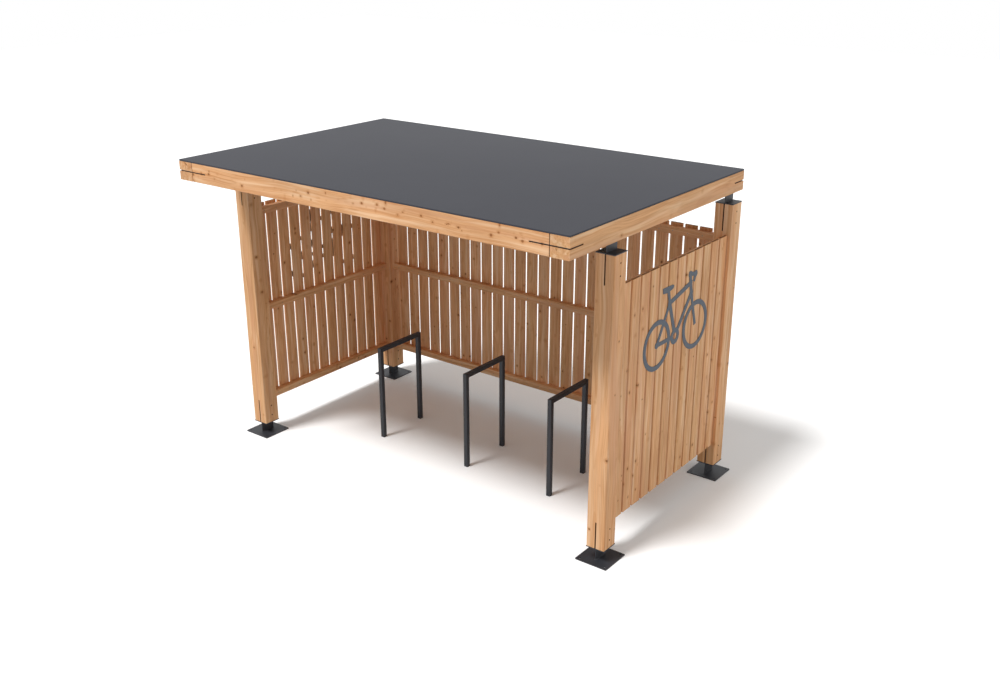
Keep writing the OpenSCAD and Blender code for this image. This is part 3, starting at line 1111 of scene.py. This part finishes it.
@dataclass
class ParkingHoop:
    """Square tube bent up as a hoop: two legs and a bar, mitred and welded."""

    name: str
    finishes: Finishes
    side: float = 35 * MM
    corner: float = 3 * MM

    def build(self) -> None:
        """Carries the tube's round-cornered section along the hoop, turned at each mitre."""
        node = f"bike_hoop_{self.name}"
        low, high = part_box(node)
        x = (low.x + high.x) / 2
        half = self.side / 2
        y0, y1, top = low.y + half, high.y - half, high.z - half
        section = rounded_section(self.side, self.side, self.corner, steps=4)
        stops = [(y0, low.z, 0), (y0, top, 45), (y1, top, 135), (y1, low.z, 180)]
        rings = np.zeros((len(stops), len(section), 3))
        for k, (y, z, turn) in enumerate(stops):
            angle = math.radians(turn)
            stretch = 1 / max(abs(math.cos(angle)), abs(math.sin(angle))) if turn % 90 else 1.0
            across = section[:, 1] * stretch
            rings[k, :, 0] = x + section[:, 0]
            rings[k, :, 1] = y + across * math.cos(angle)
            rings[k, :, 2] = z - across * math.sin(angle)
        make_piece(f"{node}_tube", [carry(rings)], self.finishes.steel, "dark_steel", node)


@dataclass
class BicycleSign:
    """Bicycle figure cut from sheet, with its cut edges broken: one on each side wall."""

    finishes: Finishes
    bevel: float = 0.4 * MM

    def build(self) -> None:
        """Cuts the right wall's figure, and the left wall's as its mirror image."""
        self.cut("bike_sign_sheet", 1, "bike_sign")
        self.cut("bike_sign_left_sheet", -1)

    def cut(self, name: str, side: int, *nodes: str) -> None:
        """Copies the cut sheet to a side wall and breaks its edges.

        Args:
            name: Name of the piece.
            side: 1 for the right wall, -1 for the left.
            *nodes: Node that it replaces.
        """
        piece = merged_copy("bike_sign", name)
        if side < 0:
            piece.data.transform(Matrix.Diagonal((-1.0, 1.0, 1.0, 1.0)))
            piece.data.flip_normals()
        break_edges(piece, self.bevel, segments=1, angle=60)
        settle(piece, self.finishes.sign, "sign_metal", *nodes)


# The studio round the shelter


@dataclass
class Studio:
    """White floor and backdrop with a soft key light, a fill and an even sky."""

    floor_size: float = 60.0
    floor_drop: float = 0.2 * MM
    sky: float = 0.5
    sky_tint: tuple = (0.98, 0.99, 1.0, 1.0)
    key: float = 2.7
    key_way: tuple = (-0.16, -0.44, 0.88)
    key_angle: float = 13.0
    fill: float = 0.5
    fill_tint: tuple = (1.0, 0.945, 0.84)
    fill_way: tuple = (0.88, -0.12, 0.46)
    fill_angle: float = 45.0
    bounce: str = "#A2AEBC"

    def build(self) -> None:
        """Lays the floor, hangs the lamps and sets the sky."""
        self.lay_floor()
        self.hang_sun("key", self.key, self.key_way, self.key_angle)
        self.hang_sun("fill", self.fill, self.fill_way, self.fill_angle).color = self.fill_tint
        world = bpy.data.worlds.new("white studio")
        bpy.context.scene.world = world
        world.use_nodes = True
        tree = world.node_tree
        tree.nodes.clear()
        seen = seen_rays(tree)
        strength = add(tree, "MapRange", {"Value": seen, "To Min": self.sky})
        tint = add(tree, "Mix", {0: seen, 6: self.sky_tint, 7: WHITE}, data_type="RGBA").outputs[2]
        sky = add(tree, "Background", {"Color": tint, "Strength": strength})
        add(tree, "OutputWorld", {"Surface": sky})

    def hang_sun(self, name: str, strength: float, way: tuple, angle: float) -> Light:
        """Hangs a far, soft lamp.

        Args:
            name: The lamp's name.
            strength: Its strength.
            way: Vector from the shelter to the lamp.
            angle: How wide it looks, in degrees.

        Returns:
            The lamp.
        """
        lamp = bpy.data.lights.new(name, "SUN")
        lamp.energy = strength
        lamp.angle = math.radians(angle)
        new_object(name, lamp).rotation_euler = Vector(way).to_track_quat("Z", "Y").to_euler()
        return lamp

    def lay_floor(self) -> None:
        """Lays a floor that is pure white to the eye and a little darker as a reflector."""
        half = self.floor_size / 2
        corners = [(-half, -half), (half, -half), (half, half), (-half, half)]
        mesh = bpy.data.meshes.new("studio_floor")
        mesh.from_pydata([(x, y, -self.floor_drop) for x, y in corners], [], [(0, 1, 2, 3)])
        material, tree = new_material("white_floor")
        colour = add(tree, "Mix", {0: seen_rays(tree), 6: linear(self.bounce), 7: WHITE},
                     data_type="RGBA").outputs[2]
        surface = add(tree, "BsdfDiffuse", {"Color": colour})
        add(tree, "OutputMaterial", {"Surface": surface})
        mesh.materials.append(material)
        new_object("studio_floor", mesh)


@dataclass
class Viewpoint:
    """Camera at the photograph's viewing angle."""

    place: tuple = (5.136, -6.265, 4.123)
    tilt: float = 68.61
    turn: float = 37.202
    lens: float = 40.15
    sensor: float = 36.0
    sight: float = 200.0

    def build(self) -> None:
        """Sets up the camera."""
        camera = bpy.data.cameras.new("viewpoint")
        camera.lens = self.lens
        camera.sensor_width = self.sensor
        camera.clip_end = self.sight
        holder = new_object("viewpoint", camera)
        holder.location = self.place
        holder.rotation_euler = Euler((math.radians(self.tilt), 0.0, math.radians(self.turn)))
        bpy.context.scene.camera = holder


def main() -> None:
    """Builds the shelter's looks, piece by piece, and the studio round it."""
    logging.basicConfig(level=logging.INFO, format="%(name)s %(message)s")
    Viewpoint().build()
    Studio().build()
    bpy.context.scene.view_settings.view_transform = "Standard"
    finishes = Finishes()
    mill = Sawmill()
    TimberFrame(mill, finishes).build()
    for name, long_axis in (("left", 1), ("right", 1), ("back", 0)):
        SlattedWall(name, long_axis, mill, finishes).build()
    Roof(mill, finishes).build()
    SteelFittings(finishes).build()
    for name in ("left", "middle", "right"):
        ParkingHoop(name, finishes).build()
    BicycleSign(finishes).build()


if __name__ == "__main__":
    main()
